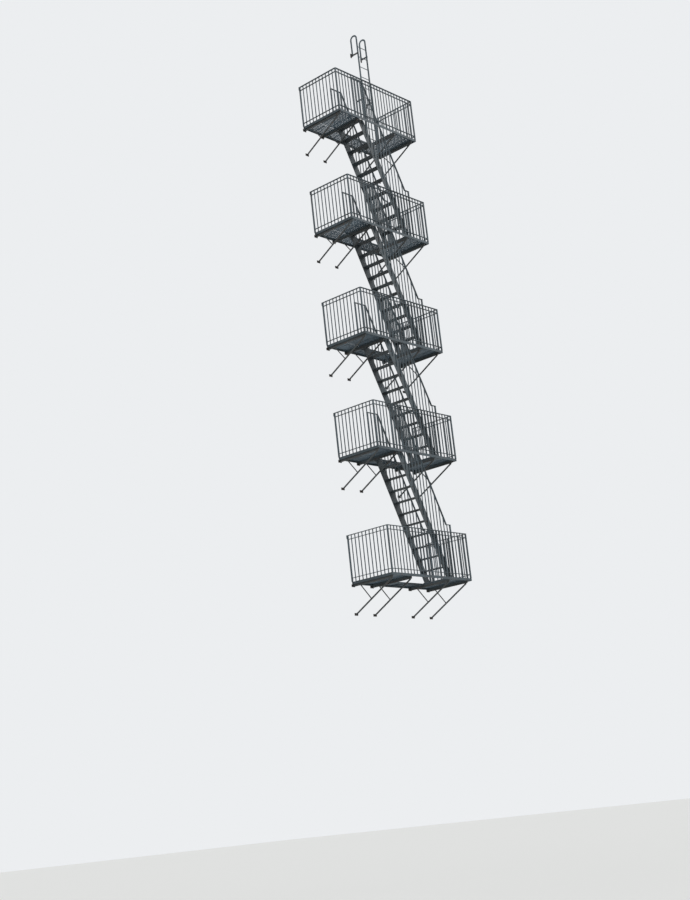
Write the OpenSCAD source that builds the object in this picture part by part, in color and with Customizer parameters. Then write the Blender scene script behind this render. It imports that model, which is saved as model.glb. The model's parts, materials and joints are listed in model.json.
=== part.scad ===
// Wall fire escape: five railed balconies, four straight flights between them
// and a ladder to the roof. All sizes are in millimetres. X runs along the wall
// to the right, Y runs into the wall, whose face is the plane Y = 0, and Z is up.
// The origin is the middle of the wall face of the lowest left foot plate.

/* [Storeys] */
// Height from one balcony to the next
storey_h = 2900; // [2700:10:3200]
// How much lower than that the lowest balcony hangs
lowest_drop = 115; // [0:5:250]
// How much lower than that the third balcony hangs
third_drop = 65; // [0:5:120]

/* [Balcony platform] */
// Length of a balcony along the wall
balcony_len = 2950; // [2800:10:3400]
// Depth of a balcony, from the wall to the front of its front bar
balcony_d = 1270; // [1200:10:1450]
// Gap between the wall and the platform's back bar
wall_gap = 20; // [15:1:40]
// Height of the bars round the platform's edge
edge_h = 64; // [60:1:80]
// Thickness of the bars round the platform's edge
edge_t = 10; // [8:1:14]
// Height of the cross bars under the floor slats
cross_h = 44; // [38:1:46]
// Width of the cross bars, and of the bracket beams under them
bar_w = 20; // [16:1:30]

/* [Floor slats] */
// Width of a floor slat
slat_w = 38; // [30:1:42]
// Thickness of a floor slat
slat_t = 10; // [8:1:12]
// Wanted distance from one slat to the next
slat_pitch = 54; // [52:1:70]
// Width of the battens riveted under the slats
batten_w = 32; // [25:1:40]
// Thickness of the battens riveted under the slats
batten_t = 8; // [6:1:10]
// Gap left round each slatted panel
panel_gap = 2; // [1:0.5:4]

/* [Stair opening] */
// From the balcony's left end to the opening
opening_x = 712; // [680:1:760]
// Length of the opening along the wall
opening_len = 1391; // [1300:1:1500]
// Width of the slatted walkway between the back bar and the opening
walkway_w = 401; // [370:1:430]

/* [Brackets] */
// From the balcony's left end to the first bracket
first_bracket_x = 40; // [30:1:80]
// From the last bracket to the balcony's right end
last_bracket_x = 140; // [60:1:200]
// Height of the bracket's level beam
beam_h = 50; // [44:1:60]
// From the front of the platform back to the end of the beam
beam_setback = 24; // [10:1:60]
// From the platform's underside down to the middle of the foot plate
foot_drop = 700; // [600:10:900]
// Depth of the sloping strut
strut_h = 34; // [28:1:44]
// Width of the sloping strut
strut_w = 18; // [14:1:20]
// Depth of the short brace between strut and beam
brace_h = 22; // [16:1:23]
// Width of the short brace between strut and beam
brace_w = 12; // [8:1:14]
// Where the brace meets the beam, from the wall
brace_top_y = 225; // [160:5:280]
// Where the brace meets the strut, from the wall
brace_low_y = 525; // [460:5:600]

/* [Wall plates] */
// Width of a wall plate
plate_w = 110; // [104:1:130]
// Height of a wall plate
plate_h = 60; // [54:1:80]
// Thickness of a wall plate
plate_t = 12; // [8:1:14]
// Diameter of the holes for the wall bolts
bolt_hole_d = 16; // [12:1:20]
// Distance between the two bolt holes of a plate, which are side by side
bolt_spacing = 72; // [66:1:80]

/* [Railings] */
// From the platform's underside up to the top of the railing
rail_top_h = 1176; // [1080:2:1240]
// Width of the flat top rail
top_rail_w = 44; // [36:1:50]
// Thickness of the flat top rail
top_rail_t = 12; // [10:1:16]
// Width of the two lower rails
low_rail_w = 36; // [30:1:44]
// Thickness of the two lower rails
low_rail_t = 10; // [8:1:12]
// From the top of the top rail down to the top of the second rail
second_rail_drop = 96; // [80:1:120]
// From the edge bar up to the bottom rail
bottom_rail_gap = 84; // [60:1:110]
// Side of a square picket
picket_s = 18; // [14:1:22]
// Wanted distance from one picket to the next
picket_pitch = 115; // [100:1:140]
// Side of a square post
post_s = 32; // [28:1:40]
// Height of the flange that ties a side railing to the wall
flange_h = 84; // [70:1:110]

/* [Flights] */
// From the opening's left edge to the middle line of a stringer at its head
head_gap = 164; // [150:1:200]
// How far a flight runs along the wall
stair_run = 1345; // [1300:5:1420]
// Width of a stringer across its slope
stringer_w = 200; // [180:1:204]
// Thickness of a stringer
stringer_t = 12; // [8:1:14]
// Gap between the opening's back edge and the inner handrail
inner_gap = 16; // [8:1:40]
// Gap between the platform's front bar and the outer handrail
outer_gap = 52; // [24:1:80]
// Length and width of the shoe under a stringer's foot
shoe_w = 64; // [50:1:80]
// Thickness of that shoe
shoe_t = 8; // [6:1:10]
// Height of the level arm that ties a stringer's head to the platform
head_arm_h = 110; // [90:1:130]
// Wanted height of a step
riser_h = 278; // [250:1:290]
// Width of one flat bar of a tread
tread_bar_w = 38; // [30:1:40]
// Thickness of the flat bars of a tread
tread_bar_t = 9; // [8:1:12]
// Number of flat bars in a tread
tread_bars = 4; // [3:1:4]
// Gap between the flat bars of a tread
tread_bar_gap = 11; // [6:1:12]
// Side of the cleats that carry a tread
cleat_s = 34; // [28:1:40]
// Thickness of the cleats that carry a tread
cleat_t = 6; // [5:1:8]

/* [Stair rails] */
// Height of the handrail above the stringer's middle line
handrail_rise = 1570; // [1400:5:1600]
// From a stringer's foot to the foot newel, over which the handrail runs level
newel_run = 140; // [100:5:180]
// How far the pickets reach below the stringer's middle line
picket_lap = 60; // [40:5:90]

/* [Roof ladder] */
// From the balcony's left end to the middle of the ladder's left stile
ladder_x = 2282; // [2240:1:2400]
// Distance between the middles of the two stiles
ladder_w = 350; // [320:1:420]
// From the wall to the middle of a stile
ladder_y = 232; // [215:1:260]
// Depth of a stile
stile_d = 46; // [40:1:56]
// Thickness of a stile
stile_t = 10; // [8:1:12]
// From the top platform's underside up to the crown of the gooseneck
ladder_h = 3430; // [3200:10:3800]
// Radius of the gooseneck, at the middle of the bar
neck_r = 98; // [80:1:105]
// Length of the leg that comes down behind the gooseneck
neck_leg = 470; // [380:10:600]
// Diameter of a rung
rung_d = 20; // [18:1:24]
// Distance from one rung to the next
rung_pitch = 300; // [280:5:320]
// Width of a ladder bracket
ladder_plate_w = 50; // [44:1:60]
// Height of a ladder bracket's wall plate
ladder_plate_h = 120; // [110:1:150]
// Distance between the two bolt holes of a ladder bracket
ladder_bolt_spacing = 80; // [70:1:90]
// From the top platform's underside up to the lower ladder brackets
ladder_bracket_h = 1500; // [1300:10:1700]

/* [Hidden] */
BALCONIES = 5;
FLIGHTS = BALCONIES - 1;

iron = "#4a5a5f";
iron_dark = "#3c4a4f";
iron_pale = "#5d7076";
round_fn = 32;
past = 1;

// The balcony's ends and the stair opening, along the wall
left_x = -first_bracket_x;
right_x = left_x + balcony_len;
open_x0 = left_x + opening_x;
open_x1 = open_x0 + opening_len;
bracket_xs = [0, open_x0 - bar_w / 2, open_x1 + bar_w / 2, right_x - last_bracket_x];

// The same across the platform
back_y = -(wall_gap + edge_t);
front_y = -(balcony_d - edge_t);
open_y = back_y - walkway_w;

// Middle planes of the stair rails and of the stringers beside them
inner_rail_y = open_y - inner_gap - top_rail_w / 2;
outer_rail_y = front_y + outer_gap + top_rail_w / 2;
beside = picket_s / 2 + stringer_t / 2;
inner_stringer_y = inner_rail_y - beside;
outer_stringer_y = outer_rail_y + beside;

// Heights above a platform's underside
floor_top = cross_h + slat_t;
rail_room = rail_top_h - edge_h;

// Underside of platform k above the origin
function level_z(k) = foot_drop + (k > 1 ? lowest_drop : 0) - (k == 3 ? third_drop : 0)
    + (k - 1) * storey_h;

// Flight k, from the floor of balcony k to that of balcony k + 1
head_cx = open_x0 + head_gap;
foot_cx = head_cx + stair_run;
function foot_z(k) = level_z(k) + floor_top;
function head_z(k) = level_z(k + 1) + floor_top;
function slope(k) = (head_z(k) - foot_z(k)) / (foot_cx - head_cx);
function half_w(k) = stringer_w / 2 / sin(atan(slope(k)));
function line_z(k, x) = head_z(k) - (x - head_cx) * slope(k);
function line_x(k, z) = head_cx + (head_z(k) - z) / slope(k);
function risers(k) = round((head_z(k) - foot_z(k)) / riser_h);
tread_d = tread_bars * tread_bar_w + (tread_bars - 1) * tread_bar_gap;

// A box between two corners
module block(a, b) {
    translate(a) cube(b - a);
}

// A plate of thickness t with its outline in the XZ plane, in front of plane y
module upright_plate(y, t, outline) {
    translate([0, y, 0]) rotate([90, 0, 0]) linear_extrude(t) polygon(outline);
}

// A plate of thickness t with its outline in the YZ plane, centred on plane x
module side_plate(x, t, outline) {
    translate([x - t / 2, 0, 0]) rotate([90, 0, 90]) linear_extrude(t) polygon(outline);
}

// Platform frame: bars on edge round the platform, cross bars and the opening's header
module balcony_frame(k) {
    z = level_z(k);
    color(iron)
    translate([0, 0, z]) {
        difference() {
            block([left_x, -balcony_d, 0], [right_x, -wall_gap, edge_h]);
            block([left_x + edge_t, front_y, -past], [right_x - edge_t, back_y, edge_h + past]);
        }
        for (x = bracket_xs)
            block([x - bar_w / 2, front_y, 0], [x + bar_w / 2, back_y, cross_h]);
        block([open_x0, open_y, 0], [open_x1, open_y + edge_t, cross_h]);
        walk_x = (open_x0 + open_x1) / 2;
        block([walk_x - bar_w / 2, open_y, 0], [walk_x + bar_w / 2, back_y, cross_h]);
    }
}

// A panel of slats along X over a rectangle, held together by battens under them
module slat_panel(x0, x1, y0, y1, batten_xs) {
    rows = round((y1 - y0) / slat_pitch);
    pitch = (y1 - y0) / rows;
    for (i = [0:rows - 1]) {
        y = y0 + (i + 0.5) * pitch;
        block([x0, y - slat_w / 2, cross_h], [x1, y + slat_w / 2, floor_top]);
    }
    inset = pitch / 2;
    for (x = batten_xs)
        block([x - batten_w / 2, y0 + inset, cross_h - batten_t],
              [x + batten_w / 2, y1 - inset, cross_h]);
}

// The floor: one panel along the wall and one on each side of the opening
module balcony_floor(k) {
    quarter = function(a, b) [a + (b - a) / 4, b - (b - a) / 4];
    bays = [bracket_xs[0], bracket_xs[1], (open_x0 + open_x1) / 2, bracket_xs[2], bracket_xs[3]];
    x_min = left_x + edge_t + panel_gap;
    x_max = right_x - edge_t - panel_gap;
    y_min = front_y + panel_gap;
    color(iron_dark)
    translate([0, 0, level_z(k)]) {
        slat_panel(x_min, x_max, open_y + edge_t / 2, back_y - panel_gap,
            [for (i = [0:3]) (bays[i] + bays[i + 1]) / 2]);
        slat_panel(x_min, open_x0 - panel_gap, y_min, open_y, quarter(bays[0], bays[1]));
        slat_panel(open_x1 + panel_gap, x_max, y_min, open_y, quarter(bays[3], bays[4]));
    }
}

// A straight railing along X between the post centres x0 and x1, on plane Y = 0 and
// from the edge bar up. Without an end post its bars stop at those of the next railing.
module railing(x0, x1, end_post) {
    span = x1 - x0;
    n = round(span / picket_pitch);
    stop = end_post ? 0 : 1 / 2;
    for (i = [1:n - 1])
        block([x0 + i * span / n - picket_s / 2, -picket_s / 2, 0],
              [x0 + i * span / n + picket_s / 2, picket_s / 2, rail_room - top_rail_t]);
    block([x0, -top_rail_w / 2, rail_room - top_rail_t],
          [x1 - stop * top_rail_w, top_rail_w / 2, rail_room]);
    for (z = [rail_room - second_rail_drop - low_rail_t, bottom_rail_gap])
        block([x0, -low_rail_w / 2, z], [x1 - stop * low_rail_w, low_rail_w / 2, z + low_rail_t]);
    for (x = concat([x0], end_post ? [x1] : []))
        block([x - post_s / 2, -post_s / 2, 0], [x + post_s / 2, post_s / 2, rail_room]);
}

// Front railing with its two corner posts, standing on the front edge bar
module balcony_front_rail(k) {
    color(iron)
    translate([0, -balcony_d + edge_t / 2, level_z(k) + edge_h])
        railing(left_x + edge_t / 2, right_x - edge_t / 2, true);
}

// Both end railings, each tied to the wall and butting on the front railing
module balcony_side_rails(k) {
    to_wall = wall_gap + edge_t / 2;
    color(iron)
    for (x = [left_x + edge_t / 2, right_x - edge_t / 2])
        translate([x, -to_wall, level_z(k) + edge_h])
        rotate([0, 0, -90]) {
            railing(0, balcony_d - edge_t / 2 - to_wall, false);
            block([-to_wall, -top_rail_w / 2, rail_room - top_rail_t], [0, top_rail_w / 2, rail_room]);
            block([-to_wall, -top_rail_w / 2, rail_room - flange_h],
                  [-to_wall + low_rail_t, top_rail_w / 2, rail_room]);
        }
}

// A sloping flat bar of depth h between two points [y, z], its ends cut upright
module sloping_bar(x, w, h, a, b) {
    half = [0, h / 2 * norm(b - a) / abs(b[0] - a[0])];
    side_plate(x, w, [a + half, b + half, b - half, a - half]);
}

// Wall plate centred at x and z, with two bolt holes that lie step = [x, z] apart
module wall_plate(x, z, w, h, step) {
    difference() {
        block([x - w / 2, -plate_t, z - h / 2], [x + w / 2, 0, z + h / 2]);
        for (s = [-1 / 2, 1 / 2])
            translate([x + s * step[0], past, z + s * step[1]])
                rotate([90, 0, 0]) cylinder(d = bolt_hole_d, h = plate_t + 2 * past, $fn = round_fn);
    }
}

// One bracket: level beam, sloping strut and the short brace between them
module bracket(x) {
    tip_y = -(balcony_d - beam_setback);
    strut_tip = [tip_y + strut_h, -beam_h];
    strut_foot = [-plate_t, -foot_drop];
    strut_z = function(y) strut_foot[1]
        + (y - strut_foot[0]) * (strut_tip[1] - strut_foot[1]) / (strut_tip[0] - strut_foot[0]);
    block([x - bar_w / 2, tip_y, -beam_h], [x + bar_w / 2, -plate_t, 0]);
    sloping_bar(x, strut_w, strut_h, strut_foot, strut_tip);
    sloping_bar(x, brace_w, brace_h, [-brace_top_y, -beam_h / 2], [-brace_low_y, strut_z(-brace_low_y)]);
}

// The four brackets that carry a balcony
module balcony_brackets(k) {
    color(iron_dark)
    translate([0, 0, level_z(k)])
        for (x = bracket_xs) bracket(x);
}

// The wall plates of those brackets, one behind each beam and one at each strut's foot
module balcony_wall_plates(k) {
    color(iron_dark)
    translate([0, 0, level_z(k)])
        for (x = bracket_xs, z = [-beam_h / 2, -foot_drop])
            wall_plate(x, z, plate_w, plate_h, [bolt_spacing, 0]);
}

// One stringer in the middle plane y: sloping plate, level arm at its head, shoe at its foot
module stringer(k, y) {
    w = half_w(k);
    zt = head_z(k);
    zb = foot_z(k);
    arm_z = zt - head_arm_h;
    upright_plate(y + stringer_t / 2, stringer_t, [
        [open_x0, zt], [head_cx + w, zt], [foot_cx + w, zb],
        [foot_cx - w, zb], [line_x(k, arm_z) - w, arm_z], [open_x0, arm_z]]);
    block([foot_cx - w, y - shoe_w / 2, zb], [foot_cx + w, y + shoe_w / 2, zb + shoe_t]);
}

// Both stringers of flight k
module flight_stringers(k) {
    color(iron_pale) {
        stringer(k, inner_stringer_y);
        stringer(k, outer_stringer_y);
    }
}

// One tread: flat bars side by side on a cleat at each end
module tread(xc, z) {
    y0 = outer_stringer_y + stringer_t / 2;
    y1 = inner_stringer_y - stringer_t / 2;
    x0 = xc - tread_d / 2;
    for (i = [0:tread_bars - 1])
        block([x0 + i * (tread_bar_w + tread_bar_gap), y0, z - tread_bar_t],
              [x0 + i * (tread_bar_w + tread_bar_gap) + tread_bar_w, y1, z]);
    under = z - tread_bar_t;
    for (e = [[y0, 1], [y1, -1]]) {
        seat = [min(e[0], e[0] + e[1] * cleat_s), max(e[0], e[0] + e[1] * cleat_s)];
        leg = [min(e[0], e[0] + e[1] * cleat_t), max(e[0], e[0] + e[1] * cleat_t)];
        block([x0, seat[0], under - cleat_t], [x0 + tread_d, seat[1], under]);
        block([x0 + tread_d / 4, leg[0], under - cleat_s], [x0 + tread_d * 3 / 4, leg[1], under]);
    }
}

// The treads of flight k, the last one level with the upper floor
module flight_treads(k) {
    n = risers(k);
    rise = (head_z(k) - foot_z(k)) / n;
    color(iron_dark)
    for (i = [1:n])
        tread(line_x(k, foot_z(k) + i * rise), foot_z(k) + i * rise);
}

// The handrail of flight k turns from level to sloping at bend_x and back at foot_x
function handrail_top(k) = level_z(k + 1) + rail_top_h;
function bend_x(k) = head_cx + (head_z(k) + handrail_rise - handrail_top(k)) / slope(k);
function foot_x(k) = foot_cx + half_w(k);
function handrail_z(k, x) = handrail_top(k) - max(0, min(x, foot_x(k)) - bend_x(k)) * slope(k);

// An upright bar at x from height low to the inside of the handrail
module rail_upright(k, x, y, side, low) {
    sink = top_rail_t / 2;
    upright_plate(y + side / 2, side, [
        [x - side / 2, low], [x + side / 2, low],
        [x + side / 2, handrail_z(k, x + side / 2) - sink],
        [x - side / 2, handrail_z(k, x - side / 2) - sink]]);
}

// One stair rail whose middle plane is y: handrail, pickets and a newel at each end
module stair_rail(k, y) {
    top = handrail_top(k);
    bend = bend_x(k);
    x_head = open_x0 - post_s / 2 - panel_gap;
    x_foot = foot_x(k) + newel_run;
    x0 = x_head - post_s / 2;
    x1 = x_foot + post_s / 2;
    low = handrail_z(k, x1);
    back = (top_rail_t / cos(atan(slope(k))) - top_rail_t) / slope(k);
    upright_plate(y + top_rail_w / 2, top_rail_w, [
        [x0, top], [bend, top], [foot_x(k), low], [x1, low],
        [x1, low - top_rail_t], [foot_x(k) - back, low - top_rail_t],
        [bend - back, top - top_rail_t], [x0, top - top_rail_t]]);
    n = round((x_foot - x_head) / picket_pitch);
    for (i = [1:n - 1]) {
        x = x_head + i * (x_foot - x_head) / n;
        arm_line = head_z(k) - head_arm_h + picket_lap;
        rail_upright(k, x, y, picket_s, max(foot_z(k), min(arm_line, line_z(k, x)) - picket_lap));
    }
    rail_upright(k, x_head, y, post_s, head_z(k));
    rail_upright(k, x_foot, y, post_s, foot_z(k));
}

// Both rails of flight k, on the street side and on the wall side
module flight_rails(k) {
    color(iron)
    for (y = [outer_rail_y, inner_rail_y]) stair_rail(k, y);
}

// The ladder's foot, its crown and the stiles' places
ladder_foot_z = level_z(BALCONIES) + floor_top;
neck_z = level_z(BALCONIES) + ladder_h - neck_r - stile_d / 2;
ladder_lx = left_x + ladder_x;
stile_xs = [ladder_lx, ladder_lx + ladder_w];

// Stiles: each runs up, bends over in a gooseneck and comes down by the wall
module roof_ladder_stiles() {
    color(iron)
    for (x = stile_xs) {
        block([x - stile_t / 2, -ladder_y - stile_d / 2, ladder_foot_z],
              [x + stile_t / 2, -ladder_y + stile_d / 2, neck_z]);
        translate([x, -ladder_y + neck_r, neck_z]) rotate([90, 0, 90])
            rotate_extrude(angle = 180, $fn = 2 * round_fn)
                translate([neck_r - stile_d / 2, -stile_t / 2]) square([stile_d, stile_t]);
        leg_y = -ladder_y + 2 * neck_r;
        block([x - stile_t / 2, leg_y - stile_d / 2, neck_z - neck_leg],
              [x + stile_t / 2, leg_y + stile_d / 2, neck_z]);
    }
}

// Rungs: round bars between the stiles
module roof_ladder_rungs() {
    n = floor((neck_z - ladder_foot_z) / rung_pitch);
    color(iron)
    for (i = [1:n])
        translate([stile_xs[0] + stile_t / 2, -ladder_y, ladder_foot_z + i * rung_pitch])
            rotate([0, 90, 0]) cylinder(d = rung_d, h = ladder_w - stile_t, $fn = round_fn);
}

// Ladder brackets: arms from the wall to the outer side of each stile
module roof_ladder_brackets() {
    color(iron_dark)
    for (z = [level_z(BALCONIES) + ladder_bracket_h, neck_z - neck_leg + stile_d / 2], s = [-1, 1]) {
        face_x = (s < 0 ? stile_xs[0] : stile_xs[1]) + s * stile_t / 2;
        arm = [min(face_x, face_x + s * stile_t), max(face_x, face_x + s * stile_t)];
        block([arm[0], -ladder_y - stile_d / 2, z - stile_d / 2], [arm[1], -plate_t / 2, z + stile_d / 2]);
        wall_plate(face_x + s * ladder_plate_w / 2, z, ladder_plate_w, ladder_plate_h,
            [0, ladder_bolt_spacing]);
    }
}

for (k = [1:BALCONIES]) {
    balcony_frame(k);
    balcony_floor(k);
    balcony_front_rail(k);
    balcony_side_rails(k);
    balcony_brackets(k);
    balcony_wall_plates(k);
}
for (k = [1:FLIGHTS]) {
    flight_stringers(k);
    flight_treads(k);
    flight_rails(k);
}
roof_ladder_stiles();
roof_ladder_rungs();
roof_ladder_brackets();
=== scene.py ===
"""Visual model of a wall fire escape: paint, wear, rivets, bolts and welds over its solids.

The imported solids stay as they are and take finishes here. Every other piece is a surface
worked out with numpy, in metres, in the frame of the solids: X along the wall to the right,
Y into the wall, whose face is Y = 0, and Z up.
"""
import json
import logging
import math
from dataclasses import dataclass
from enum import Enum

import bpy
import numpy as np
from mathutils import Matrix
from numpy.typing import ArrayLike


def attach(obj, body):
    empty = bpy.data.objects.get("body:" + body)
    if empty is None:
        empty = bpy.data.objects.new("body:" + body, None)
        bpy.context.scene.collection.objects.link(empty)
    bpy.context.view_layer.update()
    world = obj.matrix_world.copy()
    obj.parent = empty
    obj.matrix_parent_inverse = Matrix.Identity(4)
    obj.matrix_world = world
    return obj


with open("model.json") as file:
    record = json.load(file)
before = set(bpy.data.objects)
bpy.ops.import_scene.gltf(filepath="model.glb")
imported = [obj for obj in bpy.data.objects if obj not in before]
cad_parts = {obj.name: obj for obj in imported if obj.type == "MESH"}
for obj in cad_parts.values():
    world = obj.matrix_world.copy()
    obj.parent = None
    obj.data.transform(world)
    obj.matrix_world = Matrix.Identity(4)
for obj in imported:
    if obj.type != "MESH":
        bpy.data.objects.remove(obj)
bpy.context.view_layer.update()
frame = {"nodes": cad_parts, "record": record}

log = logging.getLogger("fire_escape")

X_AXIS, Y_AXIS, Z_AXIS = np.eye(3)
SIDES = np.array([-1, 1])
# how far a head or a bead is let into the bar that carries it
SUNK = 0.0006
# edges that turn by more degrees than this are drawn sharp
SHARP_FROM = 32
# heights that differ by less than this count as one
ROUNDING = 1e-6


class Slot(Enum):
    """The record's material slots."""

    FRAME = "frame_paint"
    SLAT = "slat_paint"
    RAIL = "rail_paint"
    BRACKET = "bracket_paint"
    STRINGER = "stringer_paint"
    TREAD = "tread_paint"
    LADDER = "ladder_paint"


# Finishes


def linear(hex_colour: str) -> tuple[float, float, float, float]:
    """Turns an sRGB hex value into linear red, green, blue and alpha.

    Args:
        hex_colour: six hex digits after a hash sign.

    Returns:
        Four floats: c / 12.92 below 0.04045, else ((c + 0.055) / 1.055) ** 2.4, and alpha 1.
    """
    c = np.array([int(hex_colour[i:i + 2], 16) for i in (1, 3, 5)]) / 255
    low, high = c / 12.92, ((c + 0.055) / 1.055) ** 2.4
    return (*np.where(c <= 0.04045, low, high).tolist(), 1.0)


def add_node(tree: bpy.types.NodeTree, kind: str, sockets: dict, **settings: str | int) -> bpy.types.Node:
    """Adds one node with its settings, values and links.

    Args:
        tree: the node tree that the node goes into.
        kind: the node's type, without the words ShaderNode.
        sockets: for each input, by name or number, a plain value or the output linked to it.
        **settings: the node's own properties.

    Returns:
        The new node.
    """
    node = tree.nodes.new("ShaderNode" + kind)
    for key, value in settings.items():
        setattr(node, key, value)
    for key, value in sockets.items():
        if isinstance(value, bpy.types.NodeSocket):
            tree.links.new(value, node.inputs[key])
        else:
            node.inputs[key].default_value = value
    return node


def empty_tree(owner: bpy.types.Material | bpy.types.World) -> bpy.types.NodeTree:
    """Turns on the nodes of a material or a world and removes those that it starts with.

    Args:
        owner: the material or the world.

    Returns:
        Its node tree, with no node in it.
    """
    owner.use_nodes = True
    owner.node_tree.nodes.clear()
    return owner.node_tree


@dataclass(frozen=True)
class BrushedOilPaint:
    """Brushed oil paint on mild steel and wrought iron, decades in rain and street air."""

    # to the eye it is dull and uneven: chalked in patches, with a painted shade on faces that look
    # down, rust at edges and in blisters, brown runs down the upright faces and dust on top
    name: str
    sound: str
    chalked: str
    # colour of the painted shade on faces that look down, in patches
    painted_shade_colour: str
    dusty: str = "#8d979a"
    rust: str = "#533829"
    run: str = "#35302e"
    patch_mm: float = 620.0
    mottle_mm: float = 85.0
    blister_mm: float = 46.0
    run_width_mm: float = 34.0
    run_length_mm: float = 900.0
    # brush marks are about 1 mm apart, drawn three times as coarse so that they show
    brush_mm: float = 3.2
    edge_mm: float = 3.0
    relief_mm: float = 0.8
    brush_relief: float = 0.35
    rust_relief: float = 0.65
    rust_from: float = 0.64
    rust_band: float = 0.07
    dust: float = 0.55
    # strength of the painted shade on faces that look down
    painted_shade: float = 0.8
    roughness: float = 0.56
    rust_roughness: float = 0.9
    ior: float = 1.5

    def material(self) -> bpy.types.Material:
        """Builds the node material.

        An amount is 0 where its value is at the band's start, its most where the value is at
        the band's end, and in proportion between. The sound paint is mixed in turn with chalk
        by patches, a painted shade in patches on faces that look down, dust on faces that look
        up, runs on upright faces, and rust where blisters and worn edges together pass a threshold.

        Returns:
            The material.
        """
        made = bpy.data.materials.new(self.name)
        tree = empty_tree(made)
        place = add_node(tree, "TexCoord", {}).outputs["Object"]
        normal = add_node(tree, "NewGeometry", {}).outputs["Normal"]
        # the rounded normal leaves the true one only beside an edge, so their product finds edges
        rounded = add_node(tree, "Bevel", {"Radius": self.edge_mm / 1000}, samples=4).outputs["Normal"]
        same = add_node(tree, "VectorMath", {0: rounded, 1: normal}, operation="DOT_PRODUCT")
        up = add_node(tree, "SeparateXYZ", {0: normal}).outputs["Z"]
        tilt = add_node(tree, "Math", {0: up}, operation="ABSOLUTE")
        value = {"up": up, "tilt": tilt.outputs[0], "same": same.outputs["Value"]}

        # each noise takes its scale from a size in millimetres: scale = 1000 / size
        for name, size_mm, detail in (("patch", self.patch_mm, 4.0), ("mottle", self.mottle_mm, 5.0),
                                      ("blister", self.blister_mm, 6.0), ("brush", self.brush_mm, 2.0)):
            value[name] = add_node(tree, "TexNoise", {
                "Vector": place, "Scale": 1000 / size_mm, "Detail": detail, "Roughness": 0.6}).outputs["Fac"]
        wide, long = 1000 / self.run_width_mm, 1000 / self.run_length_mm
        down_wall = add_node(tree, "Mapping", {"Vector": place, "Scale": (wide, wide, long)}).outputs[0]
        value["streak"] = add_node(tree, "TexNoise", {
            "Vector": down_wall, "Scale": 1.0, "Detail": 3.0, "Roughness": 0.55}).outputs["Fac"]

        # the amount, the value that it is taken from, the band's start and end, and its most
        for name, source, start, end, most in (
                ("edge", "same", 0.985, 0.80, 1.0),
                ("upright", "tilt", 0.7, 0.2, 1.0),
                ("chalk_patch", "patch", 0.42, 0.64, 0.75),
                ("chalk_fleck", "mottle", 0.52, 0.70, 0.25),
                # painted shade: faces that look down are darkened, more in some patches than in others
                ("below", "up", -0.25, -0.8, self.painted_shade),
                ("painted_shade_patch", "patch", 0.70, 0.40, 1.0),
                ("on_top", "up", 0.4, 0.9, self.dust),
                ("dust_fleck", "mottle", 0.34, 0.62, 1.0),
                ("run", "streak", 0.55, 0.72, 0.7),
                ("bare_fleck", "mottle", 0.40, 0.62, 0.22),
                ("damp", "up", 0.2, -0.9, 0.03),
                ("brush_mark", "brush", 0.3, 0.7, self.brush_relief)):
            value[name] = add_node(tree, "MapRange", {
                "Value": value[source], 1: start, 2: end, 3: 0.0, 4: most}).outputs[0]
        for name, operation, a, b in (
                ("chalk", "ADD", "chalk_patch", "chalk_fleck"),
                # the painted shade on faces that look down, broken up by patches
                ("painted_shade", "MULTIPLY", "below", "painted_shade_patch"),
                ("dust", "MULTIPLY", "on_top", "dust_fleck"),
                ("runs", "MULTIPLY", "upright", "run"),
                ("worn", "MULTIPLY", "edge", "bare_fleck"),
                ("broken", "ADD", "blister", "worn"),
                ("corroded", "ADD", "broken", "damp")):
            value[name] = add_node(tree, "Math", {0: value[a], 1: value[b]}, operation=operation).outputs[0]
        rusty = add_node(tree, "MapRange", {
            "Value": value["corroded"], 1: self.rust_from, 2: self.rust_from + self.rust_band}).outputs[0]

        colour = linear(self.sound)
        # mixed in turn: chalk, the painted shade on faces that look down, dust, runs and rust
        for amount, tint in ((value["chalk"], self.chalked), (value["painted_shade"], self.painted_shade_colour),
                             (value["dust"], self.dusty), (value["runs"], self.run), (rusty, self.rust)):
            mixed = add_node(tree, "Mix", {0: amount, 6: colour, 7: linear(tint)}, data_type="RGBA")
            colour = mixed.outputs[2]
        rough = add_node(tree, "MapRange", {"Value": rusty, 3: self.roughness, 4: self.rust_roughness})
        grain = add_node(tree, "Math", {0: rusty, 1: self.rust_relief, 2: value["brush_mark"]},
                         operation="MULTIPLY_ADD")
        bump = add_node(tree, "Bump", {
            "Height": grain.outputs[0], "Strength": 0.5, "Distance": self.relief_mm / 1000,
            "Normal": rounded})
        shader = add_node(tree, "BsdfPrincipled", {
            "Base Color": colour, "Roughness": rough.outputs[0], "Normal": bump.outputs[0],
            "IOR": self.ior, "Metallic": 0.0})
        add_node(tree, "OutputMaterial", {"Surface": shader.outputs[0]})
        return made


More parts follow.
